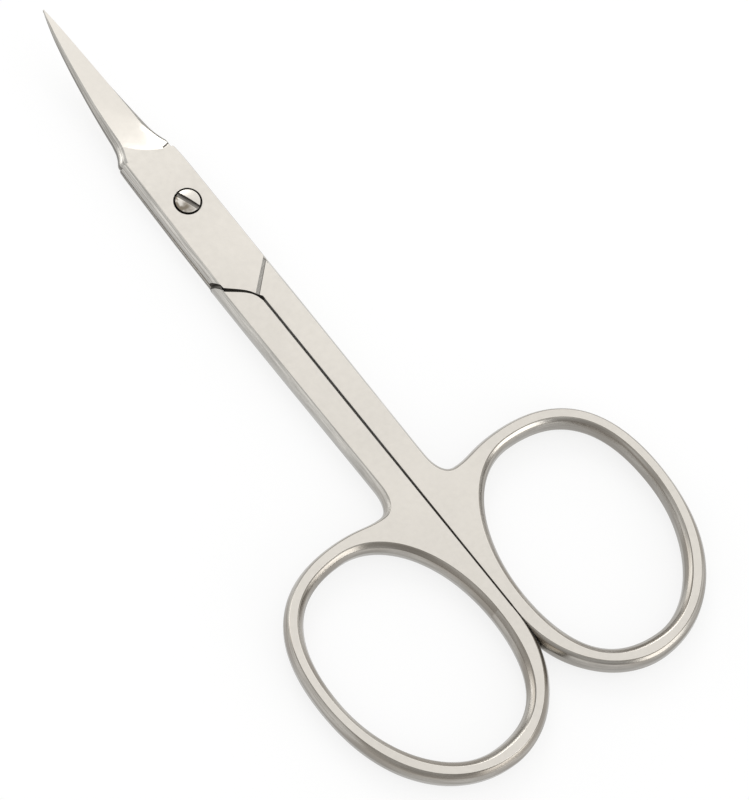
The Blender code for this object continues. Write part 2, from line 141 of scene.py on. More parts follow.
def steel(name, satin, side, grain, blotching):
    """Satin steel where the mesh's finish attribute is 0, polished where 1, and painted shade where
    2.

    satin and side are the colours of the first two, grain is the satin's bumpiness, and blotching
    how far dark brown blotches cover what lies left of the screw's axis.
    """
    material = bpy.data.materials.new(name)
    material.use_nodes = True
    tree = material.node_tree
    shader = tree.nodes["Principled BSDF"]
    start = Value(tree, None)
    place = start.node("ShaderNodeTexCoord", out=3)
    along = start.node("ShaderNodeUVMap", {"uv_map": "along"})
    finish = start.node("ShaderNodeAttribute", {"attribute_name": "finish"}, out=2)
    # Between 1 and 2 the finish attribute blends in painted shade.
    polished, painted_shade = finish.smooth(0.0, 1.0), finish.smooth(1.0, 2.0)

    # Patterns: the satin's clouds and grain, then lines and specks along the polished sides.
    cloudy = place.noise(90.0, 3.0)
    mottled = place.noise(1700.0, 4.0, 0.6)
    lines = along.stretched(0.35, 30.0, 1.0).noise(9.0, 5.0, 0.62, 0.3)
    broad = along.stretched(0.03, 1.6, 1.0).noise(9.0, 2.0)
    specks = along.stretched(1.0, 6.0, 1.0).noise(14.0, 3.0, 0.6).smooth(0.70, 0.76)

    # Bands by height on a side, which runs from 0 to 1, all painted shade: the middle of a side
    # darker, dark lines at the facets' creases, and a dark line near the rings' edges.
    level = along.node("ShaderNodeSeparateXYZ", out=1, Vector=along) + (lines - 0.5) * 0.02
    off_middle = abs(level - 0.5)
    belly_painted_shade = 1.0 - off_middle.smooth(0.07, 0.21)
    painted_crease_lines = 1.0 - abs(abs(off_middle - CREASE_LINES_OFF_MIDDLE) - CREASE_LINES_APART).smooth(0.004, 0.02)
    east, north = (place.node("ShaderNodeSeparateXYZ", out=i, Vector=place) for i in (0, 1))
    # The rings, where the polished sides are painted darker in random patches: painted reflection
    # of darker surroundings.
    ring = 1.0 - north.smooth(*RING_NORTH_END)
    patches = along.stretched(0.012, 0.5, 1.0).noise(9.0, 1.0).smooth(0.40, 0.60)
    # Painted shade: a dark line on the rings' sides near their faces' edges.
    painted_arris_line = (off_middle.smooth(0.40, 0.425) - off_middle.smooth(0.445, 0.47)) * ring
    # Dark brown blotches, only left of the screw's axis.
    blotches = place.noise(750.0, 2.0, 0.5, 0.8).smooth(0.46, 0.60)
    blotches = blotches * (1.0 - east.smooth(*BLOTCHES_EAST_END)) * blotching

    satin_tone = (cloudy * 0.55 + mottled * 0.45).smooth(0.25, 0.75)
    satin_colour = satin_tone.blend(shaded(satin, 0.965), shaded(satin, 1.03))
    side_tone = (lines * 0.5 + broad * 0.5).smooth(0.36, 0.66)
    side_colour = side_tone.blend(shaded(side, 0.66), shaded(side, 1.14))
    # Painted shade and reflection on the polished sides: the rings, the line near their edges, the
    # darker middle of a side and the crease lines.
    side_colour = (ring * (0.80 - patches * 0.40)).blend(side_colour, RING_PAINTED_SHADE)
    side_colour = (painted_arris_line * 0.6).blend(side_colour, ARRIS_PAINTED_SHADE)
    side_colour = (belly_painted_shade * 0.5).blend(side_colour, shaded(side, 0.40))
    side_colour = (painted_crease_lines * 0.5).blend(side_colour, CREASE_PAINTED_SHADE)
    side_colour = (specks * 0.55).blend(side_colour, SPECK_SHADE)
    colour = blotches.blend(polished.blend(satin_colour, side_colour), BLOTCH_COLOUR)
    # Painted shade, near black, where the finish attribute goes towards 2.
    colour = painted_shade.blend(colour, PAINTED_SHADE_COLOUR)

    satin_rough = 0.30 + satin_tone * 0.07
    side_rough = 0.13 + side_tone * 0.09 + specks * 0.2
    rough = satin_rough + polished * (side_rough - satin_rough) + painted_shade * 0.45
    height = mottled * (1 - polished) * grain + lines * polished * 0.5
    bump = start.node("ShaderNodeBump", Strength=0.22, Distance=0.00004, Height=height)
    tree.links.new(colour.socket, shader.inputs["Base Color"])
    tree.links.new(rough.socket, shader.inputs["Roughness"])
    tree.links.new(bump.socket, shader.inputs["Normal"])
    shader.inputs["Metallic"].default_value = 1.0
    return material


# Shank and finger ring of a half
# One forging, 2.9 thick, ground flat on both faces. Its outer side and the ring's inside are
# polished round in long facets; the parting face is cut straight.
HALF_THICK = 1.45
PARTING_X = -0.3
SEAM = 0.15
SHANK_EDGE_X = 2.75
RING_KNOTS = [
    (SEAM, -52.9, (0, 7.99), (0, -7.99)),
    (9.51, -64.95, (-4.325, 0), (7.18, 0)),
    (21.15, -49.98, (0, -8.14), (0, 7.70)),
    (10.30, -37.75, (7.53, 0), (-3.0, 0)),
    (4.60, -38.37, (2.0, 0), (-1.25, 0)),
    (2.66, -35.3, (0, -2.0), (0, 2.5)),
    (2.76, -14.0, (0, -7.0), (0, 2.0)),
    (SHANK_EDGE_X, -9.46, (0, -1.5), (0, 0.1)),
]
OPENING_KNOTS = [
    (1.28, -52.40, (0, 7.645), (0, -6.997)),
    (10.29, -64.16, (-6.57, 0), (5.42, 0)),
    (20.47, -50.00, (0, -8.028), (0, 6.504)),
    (10.66, -38.56, (7.345, 0), (-5.42, 0)),
    (1.28, -52.40, (0, 7.645), (0, -6.997)),
]
OUTLINE_STEP = 0.12
SHOULDER = math.radians(42.6)
SHOULDER_Y = -12.0
SHOULDER_GAP = 0.33
ACROSS = np.array([math.sin(SHOULDER), -math.cos(SHOULDER)])
CLIMB = math.tan(SHOULDER)
SHOULDER_FOOT = np.array([0, SHOULDER_Y]) + ACROSS * SHOULDER_GAP / 2
SHOULDER_INNER_Y = -12.95

# The dark line between a shank's shoulder and the other half's plate. On the round side it
# climbs by GAP_CLIMB for each mm that the side stands out, and GAP_REACH of the side sweeps along.
GAP_LINE = [(SHANK_EDGE_X, -9.68), (2.29, -10.05), (1.76, -10.47), (1.24, -10.89),
            (0.71, -11.42), (0.40, -11.85), (0.24, -12.25)]
GAP_WIDTH = 0.47
GAP_INNER_SHARE = 0.6
GAP_SMOOTHING = 11
GAP_CLIMB, GAP_REACH = 2.4, 2.6

# The sides' creases, as turns from straight out, and how far a side stands out at half its
# height. It bulges where the ring starts.
FACETS = np.radians([90.0, 73.0, 50.0, 24.0, -10.0, -42.0, -70.0, -90.0])
FACET_WANDER = math.radians(2.2)
SHANK_SWELL, RING_SWELL = 0.5, 0.20
BULGE, BULGE_X, BULGE_Y, BULGE_REACH = 0.16, 3.4, -37.6, 1.6
OPENING_SWELL, OPENING_END_SWELL = 0.78, 0.12
PARTING_ROUND_POINTS = 8
CHAMFER = 0.05
PARTING_CLOSER, RING_CLOSER = 0.04, 0.05

# Painted shade on the finish scale, from 1 for polished to 2 for near black: the parting
# face, the shoulder's wall and, darkest, its outer end, where the closed gaps lie.
PARTING_PAINTED_SHADE, SHOULDER_PAINTED_SHADE = 1.3, 1.4
SHOULDER_END_PAINTED_SHADE = np.linspace(1.8, 1.5, 7)


def lengths(line):
    """The length along a polyline at each of its points."""
    return np.r_[0, np.cumsum(np.hypot(*np.diff(line, axis=0).T))]


def evenly(line, spacing):
    """A polyline's points moved to even steps along its length."""
    run = lengths(line)
    steps = np.linspace(0, run[-1], max(int(round(run[-1] / spacing)), 1) + 1)
    return np.column_stack([np.interp(steps, run, line[:, i]) for i in (0, 1)])


def arcs(knots, spacing):
    """Even points on the cubic arcs (1-t)^3 a + 3(1-t)^2 t b + 3(1-t) t^2 c + t^3 d between knots.

    A knot is (x, y, handle before, handle after), with each handle as an offset from it.
    """
    spots = np.array([knot[:2] for knot in knots], float)
    before = spots + np.array([knot[2] for knot in knots])
    after = spots + np.array([knot[3] for knot in knots])
    t = np.linspace(0, 1, 160)[:, None, None]
    curve = ((1 - t) ** 3 * spots[:-1] + 3 * (1 - t) ** 2 * t * after[:-1]
             + 3 * (1 - t) * t ** 2 * before[1:] + t ** 3 * spots[1:])
    return evenly(curve.transpose(1, 0, 2).reshape(-1, 2), spacing)


def gap_edge(offset):
    """The shoulder's dark line, moved sideways by an offset, from the outer side inwards."""
    line = arcs([(x, y, (0, 0), (0, 0)) for x, y in GAP_LINE], 0.1)
    window = np.ones(GAP_SMOOTHING) / GAP_SMOOTHING
    line = np.column_stack([
        np.convolve(np.pad(v, GAP_SMOOTHING // 2, "reflect", reflect_type="odd"), window, "valid")
        for v in line.T])
    way = np.gradient(line, axis=0)
    way /= np.linalg.norm(way, axis=1, keepdims=True)
    sideways = offset * np.column_stack([way[:, 1], -way[:, 0]])
    return line + sideways * np.linspace(1, GAP_INNER_SHARE, len(line))[:, None]


def drawn_to(line, x):
    """A line with its first point moved along its first step, to this x."""
    first, second = line[:2]
    moved = first + (first - second) * (x - first[0]) / (first[0] - second[0])
    return np.concatenate([[moved], line[1:]])


def outwards(loop):
    """Unit vectors to the right of a closed loop's direction."""
    way = np.roll(loop, -1, 0) - np.roll(loop, 1, 0)
    way /= np.linalg.norm(way, axis=1, keepdims=True)
    return np.column_stack([way[:, 1], -way[:, 0]])


def facet_rows(creases, softness=0.35):
    """(stand-out, height) of the side's rows, both as shares, for creases given as turns.

    A crease lies on cos(t)^1.5 out and sin(t) high. The facet between two is straight, eased
    back towards that curve by the softness.
    """
    columns = creases.shape[1]
    steps = np.array([0.0, 0.06, 0.28, 0.5, 0.72, 0.94])[None, :, None]

    def filled(values):
        """The rows of values with the steps between each two of them."""
        low, high = values[:-1, None], values[1:, None]
        return np.concatenate([(low + (high - low) * steps).reshape(-1, columns), values[-1:]])

    turn = filled(creases)
    flat = [filled(values) for values in (np.cos(creases).clip(0) ** 1.5, np.sin(creases))]
    curved = [np.cos(turn).clip(0) ** 1.5, np.sin(turn)]
    return [a + (b - a) * softness for a, b in zip(flat, curved)]


def wandering(run, size, seed):
    """A slow, seeded wave along a run of lengths, about the given size high."""
    waves = np.random.default_rng(seed).uniform([6, 0, 0.4], [30, 2 * math.pi, 1.0], (5, 3))
    return size * sum(w[2] * np.sin(2 * math.pi * run / w[0] + w[1]) for w in waves) / 2.2


def side_wall(loop, out, swell, top=HALF_THICK, bottom=-HALF_THICK, facets=FACETS, seed=1):
    """Grid of points from a face's edge down the polished side: rows by height, columns by place.

    The swell, top and bottom are numbers or one value for each place on the loop.
    """
    run = lengths(loop)
    count = len(loop)
    creases = np.repeat(facets[:, None], count, 1)
    for i in range(1, len(facets) - 1):
        creases[i] += wandering(run, FACET_WANDER, seed * 10 + i)
    creases[0] = np.arcsin(np.clip(np.broadcast_to(top, count) / HALF_THICK, -1, 1))
    creases[-1] = np.arcsin(np.clip(np.broadcast_to(bottom, count) / HALF_THICK, -1, 1))
    share, tall = facet_rows(creases)
    xy = loop[None] + out[None] * (share * swell)[..., None]
    return np.dstack([xy, tall * HALF_THICK]), run


def ease(value, low, high):
    """0 below low, 1 above high, smooth between."""
    t = ((value - low) / (high - low)).clip(0, 1)
    return t * t * (3 - 2 * t)


class Shell:
    """Grids of points, and flat faces inside loops of them, collected into one mesh."""

    WELD = 0.0004
    SHARP = math.radians(17)

    def __init__(self):
        self.points, self.faces, self.finish, self.along, self.caps = [], [], [], [], []
        self.count = 0

    def grid(self, points, closed, finish, run, tall=1.0):
        """Quads over a grid of points; closed joins its last column to its first.

        finish is 0 for satin, 1 for polished and 2 for near-black painted shade, over all or for
        each quad. run is each column's length along the piece, and tall the rows' share of a whole
        wall, or each row's place on it. Gives the points' numbers.
        """
        rows, columns = points.shape[:2]
        number = self.count + np.arange(rows * columns).reshape(rows, columns)
        right = np.roll(number, -1, 1)
        quads = np.stack([number[:-1], right[:-1], right[1:], number[1:]], -1)
        level = np.linspace(0, tall, rows) if np.isscalar(tall) else tall
        uv = np.stack([np.broadcast_to(run, (rows, columns)),
                       np.broadcast_to(level[:, None], (rows, columns))], -1)
        uv_right = np.roll(uv, -1, 1)
        uv_right[:, -1, 0] = uv[:, -1, 0] + OUTLINE_STEP
        corners = np.stack([uv[:-1], uv_right[:-1], uv_right[1:], uv[1:]], -2)
        marks = np.broadcast_to(finish, quads.shape[:2])
        if not closed:
            quads, corners, marks = quads[:, :-1], corners[:, :-1], marks[:, :-1]
        self.points.append(points.reshape(-1, 3))
        self.faces.append(quads.reshape(-1, 4))
        self.along.append(corners.reshape(-1, 4, 2))
        self.finish.append(marks.reshape(-1).astype(float))
        self.count += rows * columns
        return number

    def cap(self, *loops, finish=0.0):
        """Asks for a flat face inside the first loop of point numbers and outside the others."""
        self.caps.append((loops, finish))

    def mesh(self, name, place):
        """The whole as one mesh in metres, at its place, with its normals outwards."""
        mesh = bpy.data.meshes.new(name)
        mesh.from_pydata(np.concatenate(self.points) * MM, [], np.concatenate(self.faces).tolist())
        mesh.polygons.foreach_set("use_smooth", np.ones(len(mesh.polygons), bool))
        layer = mesh.uv_layers.new(name="along")
        layer.data.foreach_set("uv", np.concatenate(self.along).reshape(-1).astype(np.float32))
        mark = mesh.attributes.new("finish", "FLOAT", "FACE")
        mark.data.foreach_set("value", np.concatenate(self.finish).astype(np.float32))
        body = bmesh.new()
        body.from_mesh(mesh)
        body.verts.ensure_lookup_table()
        uv = body.loops.layers.uv["along"]
        finish = body.faces.layers.float["finish"]
        for loops, cap_finish in self.caps:
            edges = set()
            for loop in loops:
                for a, b in zip(loop, np.roll(loop, -1)):
                    pair = (body.verts[a], body.verts[b])
                    edges.add(body.edges.get(pair) or body.edges.new(pair))
            for face in body.faces:
                face.tag = True
            bmesh.ops.triangle_fill(body, use_beauty=True, edges=list(edges))
            for face in [face for face in body.faces if not face.tag]:
                face[finish] = cap_finish
                for corner in face.loops:
                    corner[uv].uv = corner.vert.co.xy / MM
        bmesh.ops.remove_doubles(body, verts=body.verts, dist=self.WELD * MM)
        bmesh.ops.transform(body, matrix=place, verts=body.verts)
        bmesh.ops.recalc_face_normals(body, faces=body.faces)
        body.to_mesh(mesh)
        body.free()
        mesh.set_sharp_from_angle(angle=self.SHARP)
        corners = np.zeros(len(mesh.polygons), int)
        mesh.polygons.foreach_get("loop_total", corners)
        mesh.polygons.foreach_set("use_smooth", corners > 3)
        return mesh


def linked(name, data):
    """A new object with this data, in the scene."""
    piece = bpy.data.objects.new(name, data)
    bpy.context.scene.collection.objects.link(piece)
    return piece


def shank_and_ring(shell, seed):
    """Ring and shank up to the shoulder: outer wall, the opening's wall and two flat faces."""
    ring = arcs(RING_KNOTS, OUTLINE_STEP)
    shoulder = drawn_to(gap_edge(-GAP_WIDTH / 2), SHANK_EDGE_X)
    inner_corner, outer_corner = np.array([SEAM, SHOULDER_INNER_Y]), shoulder[0]
    ring[-1] = outer_corner
    parting = evenly(np.array([inner_corner, ring[0]]), 0.6)
    shoulder = np.concatenate([shoulder, [inner_corner]])
    loop = np.concatenate([parting, ring[1:], shoulder[1:-1]])
    out = outwards(loop)
    last = len(parting) + len(ring) - 2
    swell = SHANK_SWELL + RING_SWELL * ease(-loop[:, 1], 50.0, 60.0)
    swell += BULGE * np.exp(-((loop[:, 0] - BULGE_X) ** 2 + (loop[:, 1] - BULGE_Y) ** 2)
                            / BULGE_REACH ** 2)
    swell[last + 1:] = 0
    swell[:len(parting) - PARTING_ROUND_POINTS] = 0
    out[last] = (1.0, 0.0)
    side = (np.arange(len(loop)) <= last) & (loop[:, 0] > 1)
    out[:, 1] += side * ease(loop[:, 1], outer_corner[1] - GAP_REACH, outer_corner[1]) * GAP_CLIMB
    points, run = side_wall(loop, out, swell, seed=seed)

    # The parting face is chamfered, and stands closer to the other half's than the solid's does.
    near_face = (np.abs(points[..., 2]) - (HALF_THICK - CHAMFER)).clip(0) / CHAMFER
    points[..., 0] = np.maximum(points[..., 0], SEAM + CHAMFER * near_face ** 2)
    closer = PARTING_CLOSER + RING_CLOSER * ease(-points[..., 1], 26, 52)
    points[..., 0] -= closer * (1 - ease(points[..., 0], 0.3, 3.0))

    satin_edges = np.ones((len(points) - 1, 1))
    satin_edges[[0, 1, -2, -1]] = 0
    finish = np.repeat(satin_edges, len(loop), 1)
    # The parting face and the shoulder's wall are painted shade, darkest at the shoulder's outer
    # end.
    finish[:, :len(parting) - 1] = PARTING_PAINTED_SHADE
    finish[:, last:] = SHOULDER_PAINTED_SHADE
    finish[:, last - 3:last + 4] = SHOULDER_END_PAINTED_SHADE
    outer = shell.grid(points, True, finish, run)
    opening = arcs(OPENING_KNOTS, OUTLINE_STEP)[:-1]
    swell = OPENING_SWELL + OPENING_END_SWELL * ease(-opening[:, 1], 52.0, 63.0)
    points, run = side_wall(opening, -outwards(opening), swell, seed=seed + 3)
    inner = shell.grid(points, True, satin_edges, run)
    shell.cap(outer[0], inner[0])
    shell.cap(outer[-1], inner[-1])


# Plate of a half
# Where the halves cross, the forging is lapped to half its thickness. Its outer face is milled
# a little lower, which leaves a bright slope along the shoulder, and drilled for the screw.
PLATE_Z = 1.33
LAP_Z = 0.05
SLOPE_LEVELS = (0.0, 0.08, 0.43)
SLOPE_WIDTH = SLOPE_LEVELS[-1]
# The slope is painted shade, and the line at its foot darker still.
SLOPE_PAINTED_SHADE, SLOPE_FOOT_PAINTED_SHADE = 1.5, 1.7
SEAT_RADIUS = 1.45
BORE_RADIUS = 0.95
SEAT_Z = 0.63
RIM_CHAMFER = 0.03
HOLE_STEPS = 96
FRONT_EDGE_SIDE = [(-9.7, 2.75), (-8.0, 2.76), (-3.0, 2.77), (3.0, 2.77), (4.8, 2.74),
                   (5.75, 2.66)]
BACK_EDGE_SIDE = [(-9.7, 2.80), (-8.0, 2.78), (-3.0, 2.725), (0.0, 2.65), (3.0, 2.57),
                  (5.0, 2.51), (6.2, 2.48), (7.0, 2.42)]
BACK_SIDE = [(-9.75, -2.39), (-3.0, -2.265), (0.0, -2.18), (1.8, -2.13), (4.5, -2.09),
             (5.8, -2.08), (6.8, -2.07)]
BACK_SWELL = [(-9.75, 0.62), (-3.0, 0.70), (1.0, 0.74), (5.0, 0.70), (6.8, 0.68)]
PLATE_FACETS = np.radians([66.5, 50.0, 24.0, 2.0])
PLATE_ROOT = 0.6
PLATE_FOOT_X, PLATE_CORNER_Y = 0.55, -12.55
GAP_OUTER_X = -2.40
CORNER_REACH = 0.7
BURIED_INSET, PROUD = 0.05, 0.002
# Painted shade: the back plate's side darkens towards the lap, and the gap's walls are near black,
# most of all at their outer end.
LAP_PAINTED_SHADE = 0.55
GAP_PAINTED_SHADE = 1.6
GAP_END_PAINTED_SHADE = np.linspace(1.9, 1.65, 6)


def above_shoulder(x, y):
    """Distance above the wall of the shank's shoulder."""
    return -(x - SHOULDER_FOOT[0]) * ACROSS[0] - (y - SHOULDER_FOOT[1]) * ACROSS[1]


def smooth_line(spots, spacing):
    """Even points on a polyline whose x is averaged over a short stretch of y."""
    line = evenly(spots, spacing)
    wide = evenly(spots, 0.02)
    order = np.argsort(wide[:, 1])
    y = line[:, 1]
    reach = np.minimum(1, np.minimum(y - y.min(), y.max() - y))[:, None]
    near = y[:, None] + np.linspace(-0.8, 0.8, 17) * reach
    return np.column_stack([np.interp(near, wide[order, 1], wide[order, 0]).mean(1), y])


def with_crossings(loop, swell, level):
    """The loop with a point added wherever it crosses this distance above the shoulder's wall."""
    ring = np.concatenate([loop, loop[:1]])
    high = above_shoulder(ring[:, 0], ring[:, 1]) - level
    off = np.abs(high) > 1e-6
    at = np.flatnonzero((high[:-1] * high[1:] < 0) & off[:-1] & off[1:])
    share = (high[at] / (high[at] - high[at + 1]))[:, None]
    extra = ring[at] + (ring[at + 1] - ring[at]) * share
    return np.insert(loop, at + 1, extra, 0), np.insert(swell, at + 1, swell[at])


def nearest(loop, spot):
    return int(np.argmin(np.hypot(*(loop - spot).T)))


def plate(shell, edge_side, edge_swell, pivot_x, seat, seed):
    """Lapped plate from inside the shank to its end, with its milled face, slope and screw hole.

    Its outline runs along the cutting edge's side, over the end, and back down the other side
    and along the gap, to a foot that is buried in the shank.
    """
    right = np.array(edge_side)[:, ::-1]
    left = np.array(BACK_SIDE)[::-1, ::-1]
    deep = SHOULDER_FOOT + ACROSS * PLATE_ROOT
    right[0, 1] = deep[1] + CLIMB * (right[0, 0] - deep[0])
    gap = drawn_to(gap_edge(GAP_WIDTH / 2) * (-1, 1), GAP_OUTER_X)
    gap = np.concatenate([gap, [[SEAM, PLATE_CORNER_Y], [SEAM, SHOULDER_INNER_Y]]])
    left[-1] = gap[0]
    end = (left[0] - right[-1]) / np.linalg.norm(left[0] - right[-1])
    by_table = np.nan   # marks the side that BACK_SWELL gives its swell
    pieces = [
        (evenly(np.array([[PLATE_FOOT_X, SHOULDER_INNER_Y], right[0]]), 0.5), 0.0),
        (smooth_line(right, 0.15), edge_swell),
        (evenly(np.array([right[-1], left[0]]), 0.3), 0.0),
        (smooth_line(left, 0.15), by_table),
        (gap, 0.0),
    ]
    loop = np.concatenate([line[:-1] for line, _ in pieces] + [pieces[-1][0][-1:]])
    swell = np.concatenate([np.full(len(line) - 1, amount) for line, amount in pieces] + [[0.0]])
    for level in SLOPE_LEVELS:
        loop, swell = with_crossings(loop, swell, level)
    swell = np.where(np.isnan(swell), np.interp(loop[:, 1], *np.transpose(BACK_SWELL)), swell)
    high = above_shoulder(loop[:, 0], loop[:, 1])
    top = HALF_THICK - (HALF_THICK - PLATE_Z) * (high / SLOPE_WIDTH).clip(0, 1)
    at_right, at_left, at_gap = (nearest(loop, spot) for spot in (right[-1], left[0], left[-1]))
    swell[at_right] = edge_swell
    swell[at_right + 1:at_left] = 0
    swell[at_gap] = BACK_SWELL[0][1]
    swell[at_gap + 1:] = 0

    # At its two ends a side sweeps along with the plate's end or the gap.
    out = outwards(loop)
    order = np.arange(len(loop))
    right_side, left_side = order <= at_right, (order >= at_left) & (order <= at_gap)
    for corner, way, side, reach in ((at_right, -end, right_side, CORNER_REACH),
                                     (at_left, end, left_side, CORNER_REACH),
                                     (at_gap, (-1.0, GAP_CLIMB), left_side, GAP_REACH)):
        out[corner] = (np.sign(way[0]), 0.0)
        close = 1 - ease(np.abs(loop[:, 1] - loop[corner, 1]), 0.0, reach)
        out[:, 1] += side * close * way[1] / abs(way[0])
    points, run = side_wall(loop, out, swell, top, LAP_Z, PLATE_FACETS, seed)

    # The buried foot is drawn in at the side. Its top stands proud by a hair, because two
    # faces in one plane would flicker.
    points[0, high < 1e-5, 2] = HALF_THICK + PROUD
    buried = ease(-above_shoulder(points[..., 0], points[..., 1]), 0.0, 0.2)
    points[..., 0] -= BURIED_INSET * buried * (points[..., 0] > 1)

    # Painted shade down the back plate's side towards the lap, and on the gap's walls.
    rows = np.linspace(0, 1, len(points) - 1)
    lap_shade_share = ((rows - 0.45) / 0.3).clip(0, 1)[:, None]
    finish = np.repeat(1 + (0.0 if seat else LAP_PAINTED_SHADE) * lap_shade_share, len(loop), 1)
    finish[:2] = 0
    finish[:, at_gap - 1:] = GAP_PAINTED_SHADE
    finish[:, at_gap - 1:at_gap + 5] = GAP_END_PAINTED_SHADE
    number = shell.grid(points, True, finish, run, 0.5)

    # Screw hole, with a recess for the head in the half that has the seat.
    circle = np.linspace(0, 2 * math.pi, HOLE_STEPS, endpoint=False)
    mouth = SEAT_RADIUS if seat else BORE_RADIUS
    profile = [(mouth + RIM_CHAMFER, PLATE_Z), (mouth, PLATE_Z - RIM_CHAMFER)]
    profile += [(SEAT_RADIUS, SEAT_Z), (BORE_RADIUS, SEAT_Z)] if seat else []
    radius, level = np.array(profile + [(BORE_RADIUS, LAP_Z)]).T[:, :, None]
    hole = np.dstack([pivot_x + radius * np.cos(circle), radius * np.sin(circle),
                      level + 0 * circle])
    # The head's recess is painted shade, and the bore a little.
    hole_finish = np.array([[0.2], [1.7], [1.7], [1.2]] if seat else [[0.2], [1.2]])
    hole = shell.grid(hole, True, hole_finish, circle * 1.4)
    rim = number[0]

    def stretch(first, last):
        """The rim's point numbers from one place to another, in the loop's direction."""
        return rim[np.arange(first, last + 1 + (len(rim) if last < first else 0)) % len(rim)]

    (right0, left0), (right1, left1), (right2, left2) = (
        np.flatnonzero(np.abs(high - level) < 1e-5)[[0, -1]] for level in SLOPE_LEVELS)
    shell.cap(stretch(right2, left2), hole[0])
    # The slope and the line at its foot are painted shade.
    shell.cap(np.concatenate([stretch(right1, right2), stretch(left2, left1)]),
              finish=SLOPE_PAINTED_SHADE)
    shell.cap(np.concatenate([stretch(right0, right1), stretch(left1, left0)]),
              finish=SLOPE_FOOT_PAINTED_SHADE)
    shell.cap(stretch(left0, right0))
    shell.cap(number[-1], hole[-1])


# Blade of a half
# The blade is drawn out of the plate's end and bends upwards. Its outer face is ground, which
# leaves a bright arc on the plate; the back is polished round and the inside is hollow ground.
BLADE_ROOT_Y, BLADE_TIP_Y = 5.5, 24.3
BLADE_BACK = 2.5
NECK_Y = 9.45
FLARE, FLARE_LENGTH, FLARE_LIMIT = 0.39, 2.35, 2.76
FRONT_NECK, FRONT_SPINE, FRONT_TIP_SPINE = 0.05, 0.11, 0.02
EDGE_TAPER = 0.31
TIP_BACK = 0.07
BEND_FROM, BEND_RADIUS = 6.5, 42.0
INNER_Z = LAP_Z + 0.02
BEVEL_WIDTH, LAND = 0.14, 0.08
ROOT_THICK, TIP_THICK, EDGE_THICK = 0.65, 0.27, 0.22
HOLLOW = 0.1
FACE_FALL = 5.5
FACE_EDGE = [(3.5, 2.45), (6.2, 2.45), (6.6, 2.42), (7.0, 2.3), (7.5, 2.1), (8.1, 1.86),
             (8.8, 1.67), (9.6, 1.58), (11.5, 1.44), (13.6, 1.28), (15.5, 1.10), (17.5, 0.90),
             (19.5, 0.69), (21.6, 0.46), (23.2, 0.25), (24.5, 0.04)]
NECK_EDGE = [(3.5, 2.40), (5.6, 2.40), (6.0, 2.42), (6.46, 2.40), (7.09, 2.22), (7.84, 2.05),
             (8.67, 1.90), (9.5, 1.76)]
NECK_BACK = [(3.5, 2.3), (6.3, 2.42), (6.8, 2.93), (7.04, 3.10), (7.26, 3.07), (7.46, 2.97),
             (7.63, 2.85), (7.81, 2.73), (8.01, 2.62), (8.21, 2.53), (8.41, 2.44), (8.63, 2.37),
             (8.86, 2.31), (9.10, 2.26), (9.45, 2.19)]
ARC = [(-1.85, 8.67), (0.23, 6.73), (1.94, 5.90)]
BACK_DOWN = np.array([0.03, 0.08, 0.15, 0.25, 0.36, 0.48, 0.6, 0.72, 0.86])
EDGE_DOWN = np.array([0.06, 0.5, 0.94, 1.0])
# Painted shade: the back's lowest rows and a small patch at the heel's notch.
INSIDE_FINISH, BACK_PAINTED_SHADE = 0.3, 1.5
BEVEL_DARKENED, HEEL_PAINTED_SHADE = 1.35, 1.8


def table(spots, y, over=0.35):
    """A table's value at y, averaged over a short stretch of it."""
    spots = np.array(spots)
    near = np.asarray(y)[..., None] + np.linspace(-over, over, 9)
    return np.interp(near, spots[:, 0], spots[:, 1]).mean(-1)


def blade_left(y):
    """The share of the blade that is still to come at y: 1 at its root and 0 at its tip."""
    return 1 - ((y - BLADE_ROOT_Y) / (BLADE_TIP_Y - BLADE_ROOT_Y)).clip(0, 1)


def blade_width(y, bends):
    """(inset back, full back, cutting edge) distances from the screw's line.

    The front blade, which bends towards its outer face, has its own neck and a fuller spine.
    """
    left = blade_left(y)
    taper = np.maximum(BLADE_BACK * left ** 0.74, TIP_BACK)
    back = np.minimum(taper + FLARE * ((NECK_Y - y).clip(0) / FLARE_LENGTH) ** 2, FLARE_LIMIT)
    if bends > 0:
        spine = FRONT_SPINE * ((BLADE_TIP_Y - y) / 3).clip(0, 1)
        back = np.where(y < NECK_Y, table(NECK_BACK, y, 0.1) + FRONT_NECK,
                        taper + FRONT_TIP_SPINE + spine)
    edge = np.where(y < NECK_EDGE[-1][0], table(NECK_EDGE, y, 0.2),
                    taper * (1 - EDGE_TAPER * left ** 2.6))
    return np.minimum(table(FACE_EDGE, y), back - 0.01), back, edge


